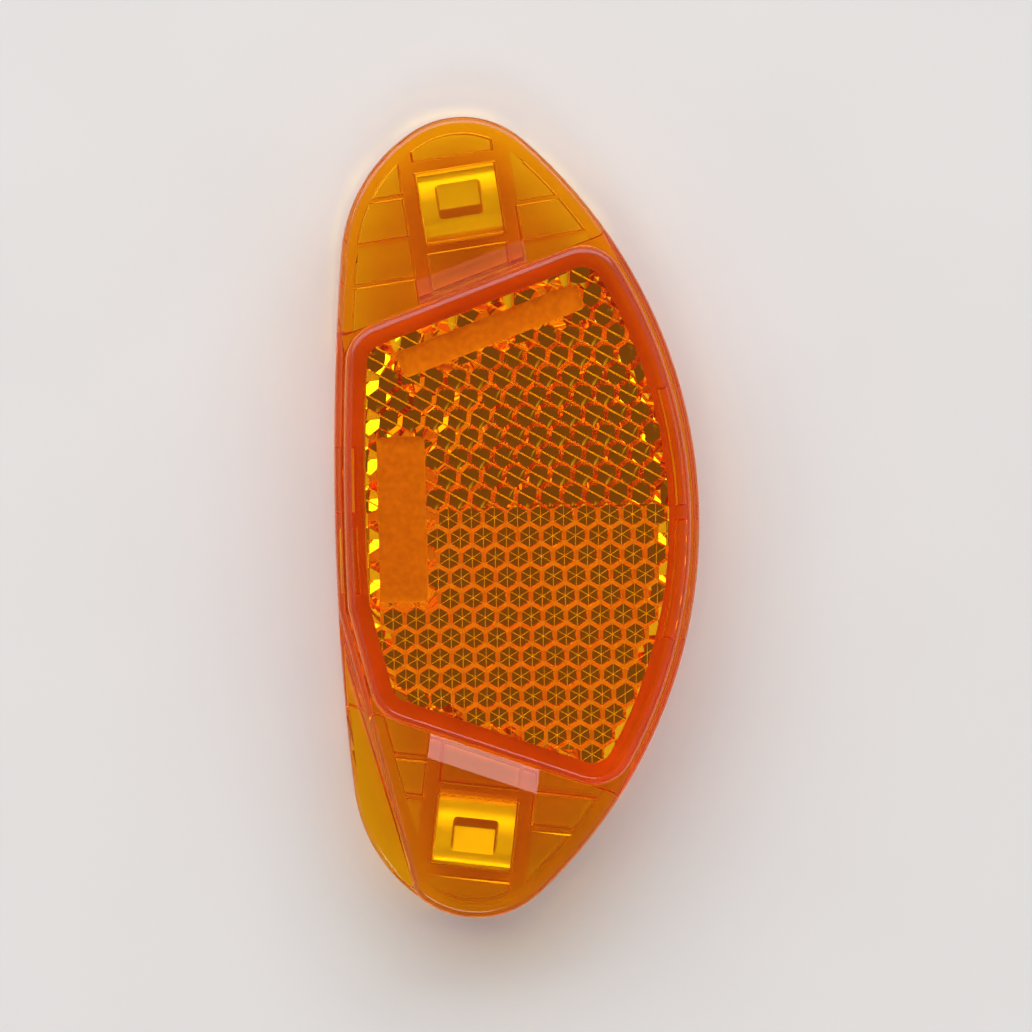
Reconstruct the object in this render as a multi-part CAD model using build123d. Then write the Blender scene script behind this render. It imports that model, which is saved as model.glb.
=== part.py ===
"""Spoke reflector: two amber half shells, closed over two spring clips that grip the spokes.

Sizes are in millimetres. The reflector lies on its back half with the front face up (+Z), its long axis
along Y and its convex, rim-side edge on +X. The halves meet on a level seam half way up. Each half is drawn
from the seam upwards, and the back half is then mirrored in the seam.
"""

import math
import os

from build123d import *

# Outline: a rim-side arc, a flatter hub-side arc and two rounded ends
length = 87.0
width = 39.6
hub_radius = 300.0
corner_radius = 17.0
tip_radius = 10.0
tip_from_hub = 14.65

# The lower end is cut back along a straight line on the hub side, down to a thin lip along the spoke slot
cut_start = 9.0
cut_angle = 13.8
cut_round = 3.0
least_round = 0.2
lip_thickness = 1.5
lip_round = 0.5

# Heights, over both halves
window_thickness = 13.0
end_thickness = 9.0
seam_gap = 0.04
edge_round = 0.9

# Raised frame round the window
seat_to_frame = 6.5
frame_angle = 20.0
frame_inset = 1.0
frame_wall = 2.4
frame_corner = 4.6
frame_round = 1.1
lens_margin = 0.7
lens_recess = 0.3

# Prism field behind the window
lens_thickness = 1.2
prism_pitch = 2.5
cant_angle = 9.0
cant_axis = 60.0
prism_embed = 0.3

# Bare label pads in the prism field
strip_pad_length = 21.0
strip_pad_height = 3.0
strip_pad_drop = 1.4
strip_pad_x = -2.5
side_pad_width = 5.2
side_pad_length = 18.0
side_pad_inset = 1.3
pad_corner = 0.6

# Spoke, its slot and the clip that holds it
spoke_radius = 1.0
spoke_clearance = 0.1
slot_clearance = 0.25
spoke_angle = 7.75
seat_from_hub = 14.8
seat_from_tip = 12.0
sheet = 0.4
clip_width = 8.4
clip_rise = 24.0
clip_foot_radius = 3.0
clip_crown_radius = 5.0
clip_lip_radius = 0.9
clip_lip_angle = 50.0
tongue_width = 4.4
tongue_slit = 0.3
tongue_gap = 1.1
tongue_root = 5.0
tongue_end = 2.35
tongue_drop = 1.0
tongue_corner = 0.5
clip_clearance = 0.05
clip_side_clearance = 0.15

# Hollow ends: rim, ribs and the clip housing
end_wall = 1.6
rim_wall = 1.8
housing_width = 12.2
rib_thickness = 0.6
hub_ribs = (-4.5, -0.2, 4.4)
rim_ribs = (-2.5, 1.7)
pocket_stop_wall = 1.4
pad_rise = 0.45
pad_inset = 1.5
ramp_rise = 1.0
ramp_length = 2.6
ramp_bite = 0.5

# Locating tongues in the seam, each with its groove in the other half
key_inset = 1.3
key_width = 1.0
key_depth = 0.7
key_clearance = 0.1
rim_key = (0.9, 13.4)
hub_key = (1.0, 7.8)

# Sizes that follow from the ones above
half_length = length / 2
half_width = width / 2
half_window = window_thickness / 2 - seam_gap / 2
half_end = end_thickness / 2 - seam_gap / 2
seam_height = window_thickness / 2
bend_radius = spoke_radius + spoke_clearance
slot_half = bend_radius + slot_clearance - spoke_clearance - seam_gap / 2
seat_x = seat_from_hub - half_width
seat_y = half_length - seat_from_tip
frame_slope = math.tan(math.radians(frame_angle))
frame_hub_half = seat_y - seat_to_frame - seat_from_hub * frame_slope
bay_floor = half_end - end_wall
lip_top = slot_half + lip_thickness
lens_face = half_window - lens_recess
prism_root = lens_face - lens_thickness
prism_tips = prism_root - 2 * prism_pitch / math.sqrt(6)
reach = 3 * length

tip_x = tip_from_hub - half_width
tip_y = half_length - tip_radius
tip_to_rim = half_width - tip_x
rim_radius = (tip_to_rim**2 + tip_y**2 - tip_radius**2) / (2 * (tip_to_rim - tip_radius))
rim_x = half_width - rim_radius
hub_x = hub_radius - half_width


def corner_centre():
    """Centre of the hub-side corner arc, tangent inside the hub arc and outside the tip arc."""
    near = corner_radius - tip_radius
    far = hub_radius - corner_radius
    dx = hub_x - tip_x
    dy = -tip_y
    gap = math.hypot(dx, dy)
    along = (near**2 - far**2 + gap**2) / (2 * gap)
    across = math.sqrt(near**2 - along**2)
    ux = dx / gap
    uy = dy / gap
    return tip_x + along * ux + across * uy, tip_y + along * uy - across * ux


corner_x, corner_y = corner_centre()
rim_turn = math.degrees(math.atan2(tip_y, tip_x - rim_x))
tip_turn = math.degrees(math.atan2(tip_y - corner_y, tip_x - corner_x))
corner_turn = math.degrees(math.atan2(corner_y, corner_x - hub_x))


def polygon(points):
    """Flat face through the given points."""
    return make_face(Polyline(*points, close=True))


def full_outline(inset):
    """The whole reflector seen from its front, drawn inset from its edge."""
    edges = [
        CenterArc((rim_x, 0), rim_radius - inset, -rim_turn, 2 * rim_turn),
        CenterArc((tip_x, tip_y), tip_radius - inset, rim_turn, tip_turn - rim_turn),
        CenterArc((corner_x, corner_y), corner_radius - inset, tip_turn, corner_turn - tip_turn),
        CenterArc((hub_x, 0), hub_radius - inset, corner_turn, 360 - 2 * corner_turn),
        CenterArc((corner_x, -corner_y), corner_radius - inset, -corner_turn, corner_turn - tip_turn),
        CenterArc((tip_x, -tip_y), tip_radius - inset, -tip_turn, tip_turn - rim_turn),
    ]
    return make_face(edges)


def outline(inset):
    """The full height of a half, drawn inset from its edge, with its lower end cut back."""
    lean = math.radians(cut_angle)
    run = Vector(math.sin(lean), -math.cos(lean))
    side = Vector(math.cos(lean), math.sin(lean))
    start = Vector(-half_width, -cut_start) + side * inset
    low = start - run * length
    high = start + run * length
    cut = polygon([low, high, high - side * width, low - side * width])
    face = (full_outline(inset) - cut).faces()[0]
    if cut_round <= inset + least_round:
        return face
    return offset(offset(face, inset - cut_round), cut_round - inset).faces()[0]


def frame_line(x, inset=0.0):
    """Height over the long axis's middle of the frame's sloping end at x."""
    return frame_hub_half + (x + half_width) * frame_slope - inset / math.cos(math.radians(frame_angle))


def band(inset):
    """Everything between the frame's two sloping ends."""
    left = -1.5 * half_width
    right = 2.0 * half_width
    return polygon(
        [
            (left, -frame_line(left, inset)),
            (right, -frame_line(right, inset)),
            (right, frame_line(right, inset)),
            (left, frame_line(left, inset)),
        ]
    )


def panel(inset):
    """The frame's outer edge, or an edge inset from it, with round corners."""
    face = (outline(frame_inset + inset) & band(inset)).faces()[0]
    corners = [v for v in face.vertices() if abs(abs(v.Y) - frame_line(v.X, inset)) < 1e-4]
    return fillet(corners, frame_corner - inset).faces()[0]


def beyond(end, inset=0.0):
    """Everything past the frame on one end, end being +1 at the top and -1 at the bottom."""
    left = -1.5 * half_width
    right = 2.0 * half_width
    return polygon(
        [
            (left, end * frame_line(left, inset)),
            (right, end * frame_line(right, inset)),
            (right, end * reach),
            (left, end * reach),
        ]
    )


def at_seat(end, along, out):
    """Point in plan from its place along the spoke and out towards the tip, both from the spoke seat."""
    lean = math.radians(spoke_angle)
    x = seat_x + along * math.cos(lean) - out * math.sin(lean)
    y = seat_y + along * math.sin(lean) + out * math.cos(lean)
    return x, end * y


def seat_box(end, along, out):
    """Rectangle in plan, square to the spoke."""
    return polygon(
        [
            at_seat(end, along[0], out[0]),
            at_seat(end, along[1], out[0]),
            at_seat(end, along[1], out[1]),
            at_seat(end, along[0], out[1]),
        ]
    )


def block(face, low, high):
    """Upright solid over a flat face."""
    return extrude(Pos(0, 0, low) * face, amount=high - low, dir=(0, 0, 1))


# Clip profile: a bend round the spoke, then two bowed legs and flared lips
rise = math.radians(clip_rise)
lip = math.radians(clip_lip_angle)
leg_height = bend_radius + sheet / 2
crown_out = clip_foot_radius * math.sin(rise) + clip_crown_radius * math.sin(rise)
crown_height = leg_height + (clip_foot_radius + clip_crown_radius) * (1 - math.cos(rise))
fall_out = crown_out + clip_crown_radius * math.sin(rise)
fall_height = crown_height - clip_crown_radius * (1 - math.cos(rise))
lip_x = fall_out + clip_lip_radius * math.sin(rise)
lip_y = fall_height + clip_lip_radius * math.cos(rise)
clip_end = lip_x + (clip_lip_radius + sheet / 2) * math.sin(lip)
pocket_floor = crown_height + sheet / 2 + clip_clearance


def leg(side):
    """One bowed leg of the clip in profile, side being +1 over the spoke and -1 under it."""
    foot = (0, leg_height + clip_foot_radius)
    crown = (crown_out, crown_height - clip_crown_radius)
    turn = (lip_x, lip_y)
    half = sheet / 2
    faces = []
    for centre, radius, start, size in (
        (foot, clip_foot_radius, -90, clip_rise),
        (crown, clip_crown_radius, 90 - clip_rise, 2 * clip_rise),
        (turn, clip_lip_radius, -90 - clip_rise, clip_rise + clip_lip_angle),
    ):
        outer = CenterArc(centre, radius + half, start, size)
        inner = CenterArc(centre, radius - half, start, size)
        ends = [Line(outer @ 0, inner @ 0), Line(outer @ 1, inner @ 1)]
        faces.append(make_face([outer, inner] + ends))
    profile = Sketch() + faces
    return profile if side > 0 else mirror(profile, about=Plane.XZ)


def leg_centre(out):
    """Height of a leg's middle over the crown."""
    drop = out - crown_out
    return crown_height - clip_crown_radius + math.sqrt(clip_crown_radius**2 - drop**2)


def spring_clip():
    """Sheet clip with its spoke seat at the origin, its spoke along X and its mouth towards +Y."""
    half = sheet / 2
    outer = CenterArc((0, 0), bend_radius + sheet, 90, 180)
    inner = CenterArc((0, 0), bend_radius, 90, 180)
    bend = make_face([outer, inner, Line(outer @ 0, inner @ 0), Line(outer @ 1, inner @ 1)])
    profile = Sketch() + [bend, leg(1), leg(-1)]
    clip = extrude(Plane.YZ * profile, amount=clip_width / 2, both=True)
    opening = tongue_width / 2 + tongue_slit
    window = Rectangle(2 * opening, tongue_root - tongue_end + tongue_gap)
    window = Pos(0, (tongue_root + tongue_end - tongue_gap) / 2) * window
    window = fillet(window.vertices(), tongue_corner)
    clip -= block(window, -seam_height, seam_height)
    root = (tongue_root + tongue_slit, leg_centre(tongue_root + tongue_slit))
    tip = (tongue_end, leg_centre(tongue_end) - tongue_drop)
    run = Vector(tip[0] - root[0], tip[1] - root[1]).normalized()
    up = Vector(-run.Y, run.X) * half
    for side in (1, -1):
        points = [Vector(root) + up, Vector(tip) + up, Vector(tip) - up, Vector(root) - up]
        tongue = polygon([(p.X, side * p.Y) for p in points])
        clip += extrude(Plane.YZ * tongue, amount=tongue_width / 2, both=True)
    return clip


def prism_block(low_y, high_y, cant):
    """Slab of cube-corner prisms, tips down, over the window between two heights along Y.

    Cells lie in strips along the cant axis. Each strip turns about that axis as one piece, so its cubes stay
    true, and an upright step joins it to the next strip.
    """
    top = prism_root + 2 * prism_embed
    edge = prism_pitch / math.sqrt(2)
    corner = prism_pitch / math.sqrt(3)
    row = prism_pitch * math.sqrt(3) / 2
    axis = math.radians(cant_axis)
    tilt = math.radians(cant)
    along = (math.cos(axis), math.sin(axis))
    across = (-math.sin(axis), math.cos(axis))
    middle = prism_root - edge / math.sqrt(3)

    def turned(x, y, z):
        u = x * along[0] + y * along[1]
        v = x * across[0] + y * across[1]
        w = v * math.cos(tilt) - z * math.sin(tilt)
        height = v * math.sin(tilt) + z * math.cos(tilt)
        return u * along[0] + w * across[0], u * along[1] + w * across[1], height

    apex = turned(0, 0, -edge / math.sqrt(3))
    ring = []
    for k in range(6):
        angle = axis + math.radians(60 * k - 30)
        height = edge / math.sqrt(3) if k % 2 == 0 else 0.0
        ring.append(turned(corner * math.cos(angle), corner * math.sin(angle), height))

    field = panel(frame_wall).bounding_box()
    left = field.min.X - prism_pitch
    right = field.max.X + prism_pitch
    low = max(low_y, field.min.Y) - prism_pitch
    high = min(high_y, field.max.Y) + prism_pitch
    count = int(reach / prism_pitch)
    cells = {}
    for i in range(-count, count):
        for j in range(-count, count):
            u = (i + j / 2) * prism_pitch
            v = j * row * math.cos(tilt)
            x = u * along[0] + v * across[0]
            y = u * along[1] + v * across[1]
            if left < x < right and low < y < high and abs(y) - prism_pitch < frame_line(x):
                cells[i, j] = (x, y)

    steps = [(1, 0), (0, 1), (-1, 1), (-1, 0), (0, -1), (1, -1)]
    faces = []
    for (i, j), (x, y) in cells.items():
        tip = (x + apex[0], y + apex[1], middle + apex[2])
        rim = [(x + p[0], y + p[1], middle + p[2]) for p in ring]
        for k in (0, 2, 4):
            faces.append((tip, rim[k - 1], rim[k], rim[(k + 1) % 6]))
        faces.append([(p[0], p[1], top) for p in rim])
        for side, (di, dj) in enumerate(steps):
            k = (side + 1) % 6
            p = rim[k - 1]
            q = rim[k]
            if (i + di, j + dj) not in cells:
                faces.append((p, q, (q[0], q[1], top), (p[0], p[1], top)))
            elif dj > 0 and abs(cant) > 0:
                other = cells[i + di, j + dj]
                a = ring[(k + 2) % 6]
                b = ring[(k + 3) % 6]
                far_q = (other[0] + a[0], other[1] + a[1], middle + a[2])
                far_p = (other[0] + b[0], other[1] + b[1], middle + b[2])
                faces.append((p, q, (q[0], q[1], far_q[2]), (p[0], p[1], far_p[2])))
    solid = Solid(Shell([Face(Wire.make_polygon(points, close=True)) for points in faces]))
    keep = block(panel(frame_wall - prism_embed), -reach, reach)
    keep &= Pos(0, (low_y + high_y) / 2, 0) * Box(reach, high_y - low_y, reach)
    return keep & solid


def half_shell(front):
    """One moulding, seam at z = 0, window face up. The front half has its keys and label strip towards +Y."""
    towards = 1 if front else -1
    flange = block(full_outline(0), 0, lip_top)
    flange = fillet(flange.edges().group_by(Axis.Z)[-1], lip_round)
    shell = block(outline(0), 0, half_end)
    shell = flange + fillet(shell.edges().group_by(Axis.Z)[-1], edge_round)
    root = half_end / 2
    frame = block(panel(0), root, half_window)
    shell += fillet(frame.edges().group_by(Axis.Z)[-1], frame_round)

    for end in (1, -1):
        strip = seat_box(end, (-housing_width / 2, housing_width / 2), (-reach, reach))
        pad = (strip & outline(pad_inset) & beyond(end, frame_inset)).faces()[0]
        top = half_end + pad_rise
        shell += block(pad, root, top)
        high = half_end + ramp_rise
        foot = [(-ramp_bite, root), (ramp_length, root)]
        wedge = polygon(foot + [(ramp_length, top), (0, high), (-ramp_bite, high)])
        ramp = extrude(Plane.YZ * wedge, amount=reach, both=True)
        ramp = Pos(-half_width, frame_hub_half, 0) * Rot(0, 0, frame_angle) * ramp
        ramp = ramp if end > 0 else mirror(ramp, about=Plane.XZ)
        shell += ramp & block(strip, root, seam_height)

    for end in (1, -1):
        shell -= block(beyond(end), -seam_height, slot_half)
        ends = outline(rim_wall) & beyond(end)
        bays = ends - seat_box(end, (-housing_width / 2, housing_width / 2), (-reach, reach))
        for out in hub_ribs:
            bays -= seat_box(end, (-reach, 0), (out - rib_thickness / 2, out + rib_thickness / 2))
        for out in rim_ribs:
            bays -= seat_box(end, (0, reach), (out - rib_thickness / 2, out + rib_thickness / 2))
        inner = clip_width / 2 + clip_side_clearance
        stop = -math.sqrt((bend_radius + sheet) ** 2 - slot_half**2) - clip_clearance
        mouth = clip_end + clip_clearance
        bays += ends & seat_box(end, (-inner, inner), (-reach, stop - pocket_stop_wall))
        bays += ends & seat_box(end, (-inner, inner), (mouth + pocket_stop_wall, reach))
        for bay in bays.faces():
            shell -= block(bay, -seam_height, bay_floor)
        shell -= block(seat_box(end, (-inner, inner), (stop, mouth)), -seam_height, pocket_floor)

    shell -= block(panel(frame_wall), -seam_height, prism_root + prism_embed)
    shell -= block(panel(frame_wall - lens_margin), lens_face, seam_height)

    for keys, side in ((rim_key, 1), (hub_key, -1)):
        place = towards * (keys[0] + keys[1]) / 2
        ring = outline(key_inset) - outline(key_inset + key_width)
        span = Pos(side * width / 2, place) * Rectangle(width, keys[1] - keys[0])
        for key in (ring & span).faces():
            shell += block(key, -key_depth, key_depth)
        ring = outline(key_inset - key_clearance) - outline(key_inset + key_width + key_clearance)
        room = keys[1] - keys[0] + 2 * key_clearance
        span = Pos(side * width / 2, -place) * Rectangle(width, room)
        for key in (ring & span).faces():
            shell -= block(key, -seam_height, key_depth + key_clearance + seam_gap)

    shell += canted_prisms
    shell += level_prisms

    window_left = -half_width + frame_inset + frame_wall
    side_pad = fillet(Rectangle(side_pad_width, side_pad_length).vertices(), pad_corner)
    side_pad = Pos(window_left + side_pad_inset + side_pad_width / 2, 0) * side_pad
    shell += block(side_pad.faces()[0], prism_tips, prism_root + prism_embed)
    strip_pad = fillet(Rectangle(strip_pad_length, strip_pad_height).vertices(), pad_corner)
    strip_pad_y = frame_line(strip_pad_x, frame_wall + strip_pad_drop + strip_pad_height / 2)
    strip_pad = Pos(strip_pad_x, towards * strip_pad_y) * Rot(0, 0, towards * frame_angle) * strip_pad
    shell += block(strip_pad.faces()[0], prism_tips, prism_root + prism_embed)
    return shell


between_rows = prism_pitch * math.sqrt(3) / 4
canted_prisms = prism_block(between_rows, reach, cant_angle)
level_prisms = prism_block(-reach, between_rows, 0.0)
clip = spring_clip()

pieces = {
    "front_shell": Pos(0, 0, seam_height + seam_gap / 2) * half_shell(True),
    "back_shell": Pos(0, 0, seam_height - seam_gap / 2) * mirror(half_shell(False), about=Plane.XY),
    "upper_clip": Pos(seat_x, seat_y, seam_height) * Rot(0, 0, spoke_angle) * clip,
    "lower_clip": Pos(seat_x, -seat_y, seam_height) * Rot(0, 0, 180 - spoke_angle) * clip,
}

os.makedirs("parts", exist_ok=True)
for name, piece in pieces.items():
    solid = piece.solids()[0]
    solid.label = name
    export_step(solid, f"parts/{name}.step")
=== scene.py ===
import math

import bmesh
import bpy
from mathutils import Matrix, Vector


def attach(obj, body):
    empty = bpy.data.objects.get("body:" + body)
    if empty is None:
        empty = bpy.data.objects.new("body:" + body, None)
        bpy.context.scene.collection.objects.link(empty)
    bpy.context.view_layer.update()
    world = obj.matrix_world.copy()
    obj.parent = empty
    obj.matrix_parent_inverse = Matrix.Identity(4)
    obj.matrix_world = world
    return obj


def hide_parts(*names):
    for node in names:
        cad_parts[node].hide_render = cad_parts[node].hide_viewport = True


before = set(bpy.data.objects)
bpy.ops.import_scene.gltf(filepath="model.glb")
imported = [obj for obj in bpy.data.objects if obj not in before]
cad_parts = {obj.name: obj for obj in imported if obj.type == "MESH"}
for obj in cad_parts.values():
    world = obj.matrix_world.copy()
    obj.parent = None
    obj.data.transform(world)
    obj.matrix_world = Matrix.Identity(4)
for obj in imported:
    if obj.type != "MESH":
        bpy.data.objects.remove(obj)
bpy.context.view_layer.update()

# Amber half shells
# The two halves are moulded in clear amber plastic, as mirror images, and close on each other over the clips.
# Behind each window the inner side is a field of cube corners, whose edges the mould leaves slightly blunt.

# The seam's height over the floor, and heights over the seam, towards the half's own face
SEAM = 0.0065
SEAM_FACE = 0.00002
SLOT_FACE = 0.00125
FRAME_TOP = 0.0065
PRISM_LIP = 0.00498
PRISM_TIP = 0.00296
PRISM_MIDDLE = (PRISM_TIP + PRISM_LIP) / 2
RIB_FOOT = 0.0015
RIB_HEAD = 0.006
SAME_HEIGHT = 2e-5

# Which faces belong to the prism field, and which are upright, level, a pad or a sloping facet
FIELD_MARGIN = 0.0004
FIELD_TILT = (-0.02, 0.75)
CANTED_FROM = 0.00108
UPRIGHT_UNDER = 0.1
LEVEL_OVER = 0.99
PAD_AREA = 5e-6
RAMP_AREA = 1e-5
RAMP_TILT = (0.97, 0.985)

# Blunt edges: the widest chamfer, each kind's share of it, and the shortest neighbour that leaves room for it
BLUNT_EDGE = 0.00032
VALLEY_SHARE = 1.0
VALLEY_ROOM = 0.0006
STEPPED_VALLEY_SHARE = 0.40
STEPPED_VALLEY_ROOM = 0.0003
RIDGE_SHARE = 0.17
CANT_RIDGE = Vector((math.cos(math.radians(330)), math.sin(math.radians(330))))
CANT_RIDGE_ALONG = 0.95
CANT_RIDGE_SHARE = 0.38
CANT_RIDGE_ROOM = 0.00025
RIB_SHARE = 0.4
RIB_ROOM = 0.0004
LEAST_FOLD = 1.0

# Amber plastic: what it absorbs on the way through, and a faint painted glow that lets it shine a little of
# itself, in place of the light it would scatter inside
AMBER_BODY = (0.9995, 0.838, 0.0, 1.0)
AMBER_DENSITY = 500.0
AMBER_PAINTED_GLOW = (1.0, 0.17, 0.0, 1.0)
AMBER_PAINTED_GLOW_STRENGTH = 0.024
AMBER_IOR = 1.5
ROUGHNESS_LEAST = 0.85
ROUGHNESS_SPREAD = 0.3

# The shells' material slots after the first, which is the clear amber: the valley slot holds a painted orange
# glow, the ridge and rib slots painted pale highlights, and the pad slot the frosted texture of the pads
VALLEY = 1
RIDGE = 2
PAD = 3
RIB = 4


class Wire:
    """A node's output socket, with arithmetic that adds Math nodes."""

    def __init__(self, tree, socket):
        self.tree = tree
        self.socket = socket

    def node(self, kind, sockets, settings=None, output=0):
        """Add a node, set its own settings, then its sockets by value or by link, and return one output."""
        made = self.tree.nodes.new(kind)
        for name, value in (settings or {}).items():
            if name == "stops":
                ramp = made.color_ramp
                while len(ramp.elements) < len(value):
                    ramp.elements.new(0.5)
                for element, (place, colour) in zip(ramp.elements, value):
                    element.position = place
                    element.color = colour
            else:
                setattr(made, name, value)
        for name, value in sockets.items():
            if isinstance(value, Wire):
                self.tree.links.new(value.socket, made.inputs[name])
            else:
                made.inputs[name].default_value = value
        return Wire(self.tree, made.outputs[output])

    def maths(self, operation, first, second):
        """Math node on two values or wires."""
        return self.node("ShaderNodeMath", {0: first, 1: second}, {"operation": operation})

    def __add__(self, other):
        return self.maths("ADD", self, other)

    def __radd__(self, other):
        return self.maths("ADD", other, self)

    def __mul__(self, other):
        return self.maths("MULTIPLY", self, other)

    def blend(self, first, second):
        """Colour that goes from the first to the second as this wire goes from 0 to 1."""
        colours = {"Factor": self, "A": first + (1.0,), "B": second + (1.0,)}
        return self.node("ShaderNodeMix", colours, {"data_type": "RGBA"}, 2)


def new_material(name):
    """Empty node material with a Principled shader, returned with its shader and its Object coordinates."""
    material = bpy.data.materials.new(name)
    material.use_nodes = True
    tree = material.node_tree
    shader = tree.nodes["Principled BSDF"]
    coordinates = tree.nodes.new("ShaderNodeTexCoord")
    return material, shader, Wire(tree, coordinates.outputs["Object"])


def link_shader(shader, **wires):
    """Join wires to the shader's sockets, named with underscores for spaces."""
    for name, wire in wires.items():
        wire.tree.links.new(wire.socket, shader.inputs[name.replace("_", " ")])


def merged_copy(node, name):
    """Merged copy of a CAD node's mesh, with flat faces rejoined."""
    bpy.ops.object.select_all(action="DESELECT")
    copy = bpy.data.objects.new(name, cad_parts[node].data.copy())
    bpy.context.scene.collection.objects.link(copy)
    copy.data.materials.clear()
    copy.select_set(True)
    bpy.context.view_layer.objects.active = copy
    bpy.ops.mesh.customdata_custom_splitnormals_clear()
    bpy.ops.object.mode_set(mode="EDIT")
    bpy.ops.mesh.select_all(action="SELECT")
    bpy.ops.mesh.remove_doubles(threshold=2e-6)
    bpy.ops.mesh.dissolve_limited(angle_limit=math.radians(0.2))
    bpy.ops.object.mode_set(mode="OBJECT")
    return copy


def amber_plastic(name, roughness, clarity, light, deep, flow_scale=60.0):
    """Amber moulding with flow marks from a light to a deep tint, and a faint painted glow on every face. A
    lower clarity is a frosted face.
    """
    material, shader, place = new_material(name)
    flow = place.node("ShaderNodeTexNoise", {"Vector": place, "Scale": flow_scale, "Detail": 1.0})
    link_shader(
        shader,
        Base_Color=flow.blend(light, deep),
        Roughness=flow * (ROUGHNESS_SPREAD * roughness) + ROUGHNESS_LEAST * roughness,
    )
    shader.inputs["Transmission Weight"].default_value = clarity
    shader.inputs["IOR"].default_value = AMBER_IOR
    # Painted glow: a faint orange emission that brightens the plastic though it is no lamp
    shader.inputs["Emission Color"].default_value = AMBER_PAINTED_GLOW
    shader.inputs["Emission Strength"].default_value = AMBER_PAINTED_GLOW_STRENGTH
    material.cycles.emission_sampling = "NONE"
    nodes = material.node_tree.nodes
    body = nodes.new("ShaderNodeVolumeAbsorption")
    body.inputs["Color"].default_value = AMBER_BODY
    body.inputs["Density"].default_value = AMBER_DENSITY
    material.node_tree.links.new(body.outputs[0], nodes["Material Output"].inputs["Volume"])
    return material


def depth(point, facing):
    """Height over the seam, towards the half's own face."""
    return (point.z - SEAM) * facing


def in_field(face, facing):
    """Whether a face belongs to the prism field."""
    least, most = FIELD_TILT
    tilt = -face.normal.z * facing
    height = depth(face.calc_center_median(), facing)
    return PRISM_TIP - FIELD_MARGIN < height < PRISM_LIP + FIELD_MARGIN and least < tilt < most


def blunt_share(edge, facing):
    """How blunt an edge is, as a share of the bluntest: prism valleys, ridges and the walls' free edges."""
    if len(edge.link_faces) != 2:
        return 0.0
    first, second = edge.verts
    middle = (first.co + second.co) / 2
    height = depth(middle, facing)
    walls = [face for face in edge.link_faces if abs(face.normal.z) < UPRIGHT_UNDER]
    flats = [face for face in edge.link_faces if abs(face.normal.z) > LEVEL_OVER]
    shortest = min(side.calc_length() for corner in edge.verts for side in corner.link_edges)
    off_level = min(abs(height - level) for level in (SEAM_FACE, SLOT_FACE, FRAME_TOP))
    if walls and flats and off_level < SAME_HEIGHT:
        return RIB_SHARE if shortest > RIB_ROOM else 0.0
    around = {face for corner in edge.verts for face in corner.link_faces}
    if walls or edge.calc_face_angle(0.0) < LEAST_FOLD or not all(in_field(face, facing) for face in around):
        return 0.0
    if height > PRISM_MIDDLE:
        if shortest > VALLEY_ROOM:
            return VALLEY_SHARE
        return STEPPED_VALLEY_SHARE if shortest > STEPPED_VALLEY_ROOM else 0.0
    if middle.y < CANTED_FROM:
        return RIDGE_SHARE
    run = (second.co - first.co).to_2d().normalized()
    along = abs(run.dot(CANT_RIDGE)) > CANT_RIDGE_ALONG
    return CANT_RIDGE_SHARE if along and shortest > CANT_RIDGE_ROOM else 0.0


amber = amber_plastic(
    "amber_plastic",
    roughness=0.0,
    clarity=1.0,
    light=(1.0, 0.91, 0.14),
    deep=(1.0, 0.86, 0.11),
)
# Valley chamfers: frosted like a blunt moulded edge, with a deeper orange tint that is a painted glow of the
# lit cube corner borders
valley_painted_glow_amber = amber_plastic(
    "amber_valley_edge_painted_glow",
    roughness=0.45,
    clarity=0.4,
    light=(1.0, 0.80, 0.10),
    deep=(1.0, 0.42, 0.04),
    flow_scale=160.0,
)
# Ridge chamfers: frosted, with a pale tan tint that is a painted highlight along the prism ridges
ridge_painted_highlight_amber = amber_plastic(
    "amber_ridge_edge_painted_highlight",
    roughness=0.35,
    clarity=0.5,
    light=(1.0, 0.90, 0.50),
    deep=(1.0, 0.84, 0.42),
)
pad_amber = amber_plastic(
    "amber_pad",
    roughness=0.5,
    clarity=0.3,
    light=(0.95, 0.66, 0.07),
    deep=(0.58, 0.34, 0.02),
    flow_scale=1400.0,
)
# Chamfers on the walls' free edges: a pale tan tint that is a painted highlight along the ribs
rib_painted_highlight_amber = amber_plastic(
    "amber_rib_edge_painted_highlight",
    roughness=0.35,
    clarity=1.0,
    light=(1.0, 0.92, 0.50),
    deep=(1.0, 0.88, 0.44),
)

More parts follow.
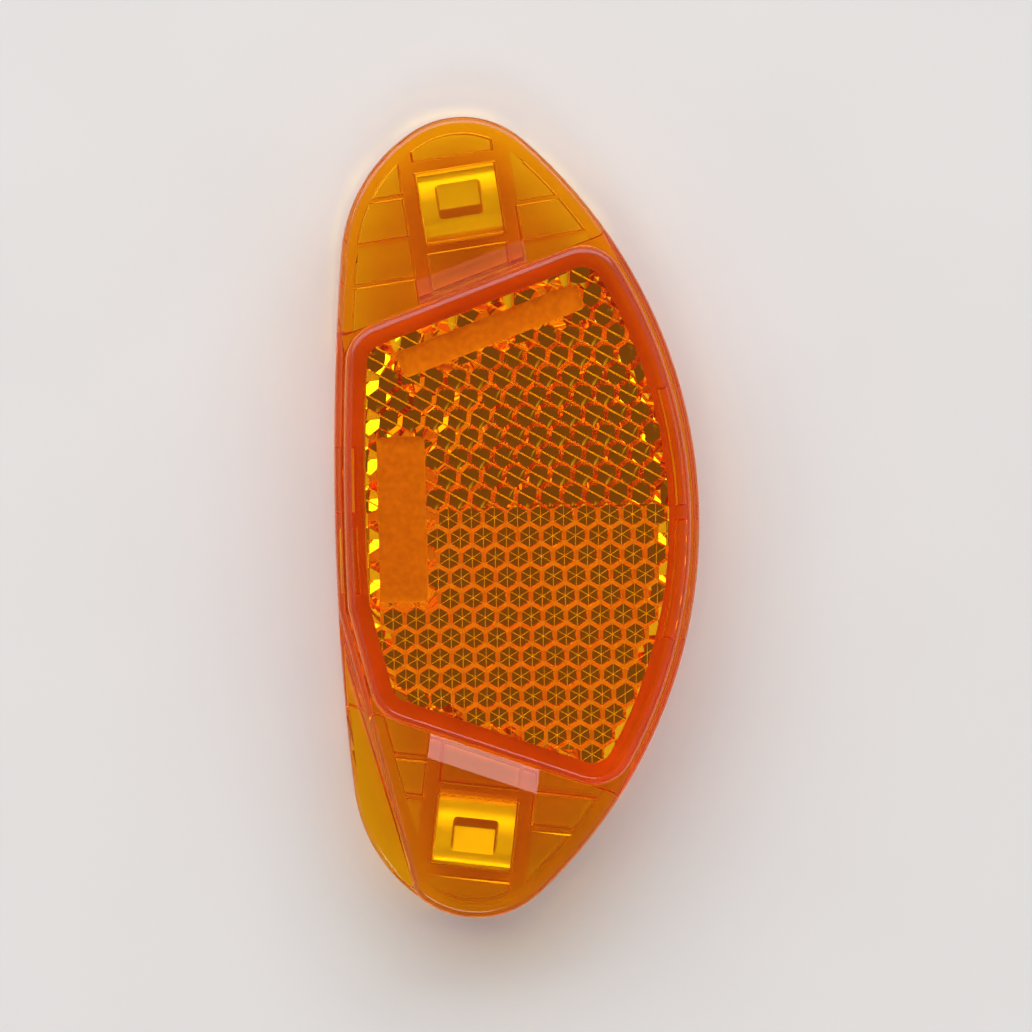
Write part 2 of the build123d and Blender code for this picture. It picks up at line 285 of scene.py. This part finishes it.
for node, facing in (("front_shell", 1), ("back_shell", -1)):
    shell = merged_copy(node, "amber_" + node)
    for material in (amber, valley_painted_glow_amber, ridge_painted_highlight_amber, pad_amber, rib_painted_highlight_amber):
        shell.data.materials.append(material)
    work = bmesh.new()
    work.from_mesh(shell.data)
    weights = work.edges.layers.float.new("bevel_weight_edge")
    for edge in work.edges:
        edge[weights] = blunt_share(edge, facing)
    work.to_mesh(shell.data)
    work.free()
    bevel = shell.modifiers.new("blunt_edges", "BEVEL")
    bevel.limit_method = "WEIGHT"
    bevel.width = BLUNT_EDGE
    bevel.segments = 1
    bevel.use_clamp_overlap = False
    bevel.material = VALLEY
    bpy.ops.object.modifier_apply(modifier=bevel.name)
    # Chamfers at the walls' free edges take the rib's painted highlight, those at the prism ridges the
    # ridge's painted highlight, and the valley chamfers keep their painted glow. Downward faces at the prism
    # tips are the pads.
    for face in shell.data.polygons:
        height = depth(face.center, facing)
        downward = face.normal.z * facing < -LEVEL_OVER
        if face.material_index == VALLEY and not RIB_FOOT < height < RIB_HEAD:
            face.material_index = RIB
        elif face.material_index == VALLEY and height < PRISM_MIDDLE:
            face.material_index = RIDGE
        elif abs(height - PRISM_TIP) < SAME_HEIGHT and downward and face.area > PAD_AREA:
            face.material_index = PAD
    bpy.ops.object.shade_smooth_by_angle(angle=math.radians(25))
    for face in shell.data.polygons:
        if face.area > RAMP_AREA and RAMP_TILT[0] < face.normal.z * facing < RAMP_TILT[1]:
            face.use_smooth = False
    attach(shell, "root")
    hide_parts(node)

# Spring clips
# Each clip is a strip of plated spring steel bent round the spoke's seat, with bowed legs, flared lips and
# a tongue cut free in each leg. It is shut between the halves.

STEEL_BRIGHT = (0.96, 0.94, 0.88)
STEEL_DULL = (0.88, 0.86, 0.79)
STEEL_ROUGHNESS = 0.46
GRAIN_ROUGHNESS = 0.14
GRAIN_STRETCH = (60.0, 2500.0, 2500.0)

steel, shader, place = new_material("spring_steel")
stretch = place.node("ShaderNodeMapping", {"Vector": place, "Scale": GRAIN_STRETCH})
grain = place.node("ShaderNodeTexNoise", {"Vector": stretch, "Scale": 1.0, "Detail": 3.0})
cloud = place.node("ShaderNodeTexNoise", {"Vector": place, "Scale": 400.0, "Detail": 2.0})
bump = place.node("ShaderNodeBump", {"Height": grain, "Strength": 0.15, "Distance": 0.00002})
link_shader(
    shader,
    Base_Color=cloud.blend(STEEL_BRIGHT, STEEL_DULL),
    Roughness=STEEL_ROUGHNESS + grain * GRAIN_ROUGHNESS,
    Normal=bump,
)
shader.inputs["Metallic"].default_value = 1.0

for node in ("upper_clip", "lower_clip"):
    clip = merged_copy(node, "steel_" + node)
    clip.data.materials.append(steel)
    bpy.ops.object.shade_smooth_by_angle(angle=math.radians(30))
    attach(clip, "root")
    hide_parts(node)

# Floor
# A plain pale table top, far wider than the view.

FLOOR_HEIGHT = -0.0002
PAPER_DARK = (0.72, 0.70, 0.69)
PAPER_LIGHT = (0.76, 0.74, 0.73)

bpy.ops.object.select_all(action="DESELECT")
bpy.ops.mesh.primitive_plane_add(size=4.0, location=(0.0, 0.0, FLOOR_HEIGHT))
floor = bpy.context.active_object
floor.name = "pale_floor"
paper, shader, place = new_material("pale_paper")
fibre = place.node("ShaderNodeTexNoise", {"Vector": place, "Scale": 40.0, "Detail": 1.0})
link_shader(shader, Base_Color=fibre.blend(PAPER_DARK, PAPER_LIGHT))
shader.inputs["Roughness"].default_value = 0.9
shader.inputs["Specular IOR Level"].default_value = 0.1
floor.data.materials.append(paper)

# Studio light and camera
# A pale room lights the part from all sides but straight above, where the camera stands, and more from beyond
# the top end. A broad soft panel stands there, and a small one before the lower end. The camera looks down.

ROOM = [
    (0.0, (0.3, 0.3, 0.3, 1.0)),
    (0.6, (1.0, 1.0, 1.0, 1.0)),
    (0.89, (0.9, 0.9, 0.9, 1.0)),
    (0.96, (0.1, 0.1, 0.1, 1.0)),
]
ROOM_LEVEL = 0.64
ROOM_RISE = 0.54
CAMERA_PLACE = (-0.027, 0.017, 0.70)
CAMERA_LEAN = math.radians(1.35)

world = bpy.data.worlds.new("studio")
bpy.context.scene.world = world
world.use_nodes = True
tree = world.node_tree
coordinates = tree.nodes.new("ShaderNodeTexCoord")
direction = Wire(tree, coordinates.outputs["Generated"])
upward = direction.node("ShaderNodeSeparateXYZ", {"Vector": direction}, output="Z")
forward = direction.node("ShaderNodeSeparateXYZ", {"Vector": direction}, output="Y")
room = direction.node("ShaderNodeValToRGB", {"Fac": upward}, {"stops": ROOM})
link_shader(tree.nodes["Background"], Color=room, Strength=ROOM_LEVEL + forward * ROOM_RISE)


def soft_panel(name, place, size, power):
    """Rectangular soft light aimed at the part."""
    bpy.ops.object.light_add(type="AREA", location=place)
    panel = bpy.context.active_object
    panel.name = name
    panel.data.shape = "RECTANGLE"
    panel.data.size = size[0]
    panel.data.size_y = size[1]
    panel.data.energy = power
    panel.rotation_euler = (-panel.location).to_track_quat("-Z", "Y").to_euler()


soft_panel("back_panel", place=(-0.2, 1.45, 1.1), size=(4.5, 1.4), power=48.0)
soft_panel("front_panel", place=(-0.089, -0.398, 0.759), size=(0.34, 0.22), power=0.8)

bpy.ops.object.camera_add(location=CAMERA_PLACE)
camera = bpy.context.active_object
look = (Vector((0.0, 0.0, SEAM)) - camera.location).normalized()
right = look.cross(Vector((math.sin(CAMERA_LEAN), math.cos(CAMERA_LEAN), 0.0))).normalized()
camera.rotation_euler = Matrix((right, right.cross(look), -look)).transposed().to_euler()
camera.data.lens = 222.0
camera.data.sensor_width = 36.0
camera.data.clip_start = 0.01
bpy.context.scene.camera = camera

# Clear plastic keeps its light only with the filtering of glossy light off
scene = bpy.context.scene
scene.view_settings.view_transform = "Standard"
scene.cycles.blur_glossy = 0.0
scene.cycles.diffuse_bounces = 2
scene.cycles.max_bounces = 12
scene.cycles.transmission_bounces = 12
scene.cycles.glossy_bounces = 8
